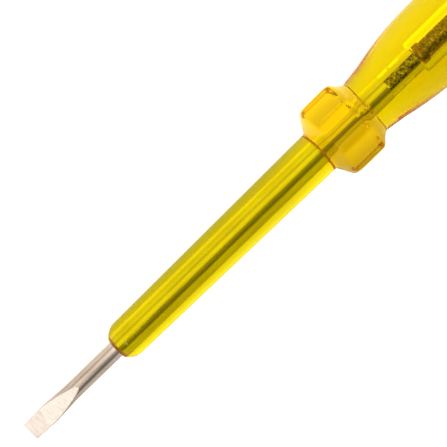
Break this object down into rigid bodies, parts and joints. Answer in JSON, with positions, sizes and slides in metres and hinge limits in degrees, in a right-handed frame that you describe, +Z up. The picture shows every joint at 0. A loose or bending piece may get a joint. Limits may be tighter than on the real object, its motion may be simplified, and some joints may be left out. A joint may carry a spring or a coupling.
{
  "type": "neon mains tester screwdriver",
  "caption": "Slotted tester screwdriver with a clear yellow handle, insulated shaft, octagonal collar, neon lamp, screw cap and pocket clip.",
  "frame": {"origin": "middle of the tool's length, on the surface that it lies on, under its axis", "axes": "+X along the tool from the blade towards the screw cap, +Z up with the pocket clip on top, +Y across"},
  "size_m": [0.14, 0.0142, 0.0163],
  "materials": {
    "blade_steel": "nickel-plated, fine lengthwise grind",
    "yellow_clear": "clear yellow cellulose acetate, polished",
    "resistor_lacquer": "speckled lacquer over carbon film on a ceramic rod",
    "plated_brass": "pressed, bright",
    "lamp_glass": "clear",
    "nickel": "bright nickel plate",
    "spring_steel": "drawn wire, bright"
  },
  "bodies": {
    "handle": {"handle": "yellow_clear", "blade_rod": "blade_steel", "resistor_core": "resistor_lacquer", "resistor_ferrule_front": "plated_brass", "resistor_ferrule_rear": "plated_brass", "neon_glass": "lamp_glass", "neon_electrode_front": "nickel", "neon_electrode_rear": "nickel", "neon_ferrule_front": "nickel", "neon_ferrule_rear": "nickel"},
    "spring": {"contact_spring": "spring_steel"},
    "cap": {"screw_cap": "nickel"},
    "clip": {"clip_ring": "spring_steel"},
    "clip_arm": {"clip_arm": "spring_steel"}
  },
  "joints": [
    {"name": "cap_advance", "type": "slide", "parent": "handle", "child": "spring", "axis": [1, 0, 0], "range_m": [0, 0.006], "deforming": ["contact_spring"]},
    {"name": "cap_turn", "type": "hinge", "parent": "spring", "child": "cap", "pos_m": [0.066, 0, 0.0071], "axis": [1, 0, 0], "range_deg": [0, 2880]},
    {"name": "clip_swivel", "type": "hinge", "parent": "spring", "child": "clip", "pos_m": [0.0627, 0, 0.0071], "axis": [1, 0, 0], "continuous": true},
    {"name": "clip_flex", "type": "hinge", "parent": "clip", "child": "clip_arm", "pos_m": [0.06273, 0, 0.01505], "axis": [0, 1, 0], "range_deg": [0, 5], "stiffness_Nm_per_rad": 2}
  ],
  "couplings": [
    {"joint": "cap_advance", "follows": "cap_turn", "m_per_rad": 0.00011936}
  ]
}
